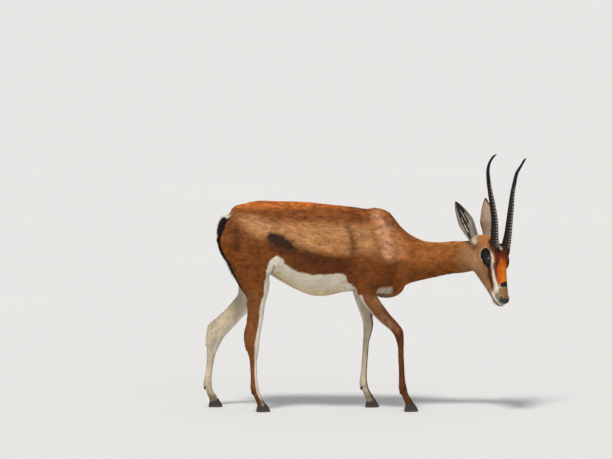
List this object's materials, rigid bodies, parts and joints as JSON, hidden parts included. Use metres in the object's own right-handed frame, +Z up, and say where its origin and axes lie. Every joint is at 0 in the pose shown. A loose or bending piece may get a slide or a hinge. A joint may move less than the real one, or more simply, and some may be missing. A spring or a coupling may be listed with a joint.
{
  "type": "grants gazelle",
  "caption": "A slender horned antelope at life size, walking with its head lowered and turned to its right, with ringed horns, cupped ears and cloven hooves.",
  "frame": {"origin": "middle of the animal's bounding box, on the floor under the hooves", "axes": "+X the way the animal walks, +Y to its left, +Z up"},
  "size_m": [1.2925, 0.3343, 1.0369],
  "materials": {
    "short_coat": "short flat hair, orange brown above and white below",
    "tail_hair": "thin white-based tail with a black tuft",
    "ear_coat": "short grey brown hair over thin leather",
    "horn": "black ringed horn, smooth at the tip",
    "eye": "wet dark brown eyeball",
    "hoof": "dark worn horn"
  },
  "bodies": {
    "root": {"torso": "short_coat", "neck": "short_coat", "head": "short_coat", "tail": "tail_hair", "ear_right": "ear_coat", "eye_right": "eye", "horn_right": "horn", "foreleg_right": "short_coat", "fore_cannon_right": "short_coat", "hind_leg_right": "short_coat", "hind_cannon_right": "short_coat", "ear_left": "ear_coat", "eye_left": "eye", "horn_left": "horn", "foreleg_left": "short_coat", "fore_cannon_left": "short_coat", "hind_leg_left": "short_coat", "hind_cannon_left": "short_coat", "claw_fore_right_outer": "hoof", "claw_fore_right_inner": "hoof", "claw_fore_left_outer": "hoof", "claw_fore_left_inner": "hoof", "claw_hind_right_outer": "hoof", "claw_hind_right_inner": "hoof", "claw_hind_left_outer": "hoof", "claw_hind_left_inner": "hoof"}
  },
  "joints": []
}
